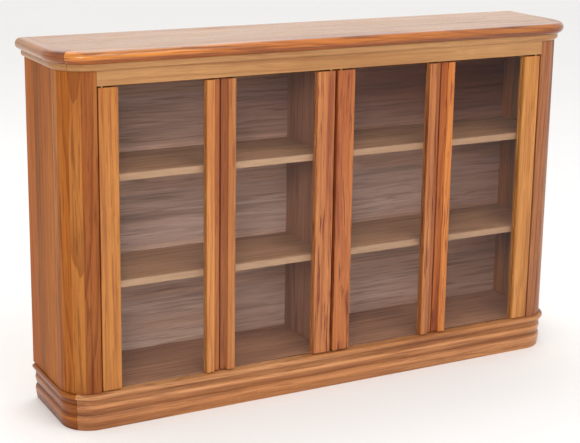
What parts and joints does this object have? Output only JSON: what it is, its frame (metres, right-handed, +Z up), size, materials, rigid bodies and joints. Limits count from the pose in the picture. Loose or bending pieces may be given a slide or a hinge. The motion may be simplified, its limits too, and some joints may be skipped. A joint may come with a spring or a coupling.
{
  "type": "low glazed bookcase",
  "caption": "Low wooden bookcase with rounded front corners, a bullnosed top, a reeded plinth and side-hung glass doors in front of shelves.",
  "frame": {"origin": "on the floor under the middle of the overall box", "axes": "+X to the right of someone facing the doors, +Y from the doors to the back, +Z up"},
  "size_m": [1.44, 0.29, 0.9],
  "materials": {
    "top_wood": "gloss lacquer",
    "lipping_wood": "gloss lacquer",
    "cornice_wood": "satin lacquer",
    "column_wood": "satin lacquer",
    "side_wood": "satin lacquer",
    "plinth_wood": "satin lacquer",
    "plinth_side_wood": "satin lacquer",
    "stile_wood": "satin lacquer",
    "shelf_wood": "satin lacquer",
    "inside_wood": "satin lacquer",
    "door_glass": "clear",
    "brass": "satin",
    "nickel": "bright"
  },
  "bodies": {
    "root": {"top_panel": "top_wood", "top_lipping_front": "lipping_wood", "top_lipping_left": "lipping_wood", "top_lipping_right": "lipping_wood", "cornice_front": "cornice_wood", "cornice_left": "cornice_wood", "cornice_right": "cornice_wood", "fascia_rail": "cornice_wood", "corner_column_left": "column_wood", "corner_column_right": "column_wood", "side_panel_left": "side_wood", "side_panel_right": "side_wood", "back_panel": "inside_wood", "bottom_panel": "inside_wood", "centre_divider": "inside_wood", "plinth_front": "plinth_wood", "plinth_left": "plinth_side_wood", "plinth_right": "plinth_side_wood", "plinth_back_rail": "plinth_side_wood", "shelf_left_lower": "shelf_wood", "shelf_pin_left_lower_inner_front": "nickel", "shelf_pin_left_lower_inner_back": "nickel", "shelf_pin_left_lower_outer_front": "nickel", "shelf_pin_left_lower_outer_back": "nickel", "shelf_left_upper": "shelf_wood", "shelf_pin_left_upper_inner_front": "nickel", "shelf_pin_left_upper_inner_back": "nickel", "shelf_pin_left_upper_outer_front": "nickel", "shelf_pin_left_upper_outer_back": "nickel", "shelf_right_lower": "shelf_wood", "shelf_pin_right_lower_inner_front": "nickel", "shelf_pin_right_lower_inner_back": "nickel", "shelf_pin_right_lower_outer_front": "nickel", "shelf_pin_right_lower_outer_back": "nickel", "shelf_right_upper": "shelf_wood", "shelf_pin_right_upper_inner_front": "nickel", "shelf_pin_right_upper_inner_back": "nickel", "shelf_pin_right_upper_outer_front": "nickel", "shelf_pin_right_upper_outer_back": "nickel"},
    "door_1": {"door_1_hinge_stile": "stile_wood", "door_1_meeting_stile": "stile_wood", "door_1_glass": "door_glass", "door_1_top_pivot": "brass", "door_1_bottom_pivot": "brass"},
    "door_2": {"door_2_hinge_stile": "stile_wood", "door_2_meeting_stile": "stile_wood", "door_2_glass": "door_glass", "door_2_top_pivot": "brass", "door_2_bottom_pivot": "brass"},
    "door_3": {"door_3_hinge_stile": "stile_wood", "door_3_meeting_stile": "stile_wood", "door_3_glass": "door_glass", "door_3_top_pivot": "brass", "door_3_bottom_pivot": "brass"},
    "door_4": {"door_4_hinge_stile": "stile_wood", "door_4_meeting_stile": "stile_wood", "door_4_glass": "door_glass", "door_4_top_pivot": "brass", "door_4_bottom_pivot": "brass"}
  },
  "joints": [
    {"name": "door_1_swing", "type": "hinge", "parent": "root", "child": "door_1", "pos_m": [-0.6045, -0.116, 0.455], "axis": [0, 0, -1], "range_deg": [0, 110]},
    {"name": "door_2_swing", "type": "hinge", "parent": "root", "child": "door_2", "pos_m": [-0.014, -0.116, 0.455], "axis": [0, 0, 1], "range_deg": [0, 90]},
    {"name": "door_3_swing", "type": "hinge", "parent": "root", "child": "door_3", "pos_m": [0.014, -0.116, 0.455], "axis": [0, 0, -1], "range_deg": [0, 90]},
    {"name": "door_4_swing", "type": "hinge", "parent": "root", "child": "door_4", "pos_m": [0.6045, -0.116, 0.455], "axis": [0, 0, 1], "range_deg": [0, 110]}
  ]
}
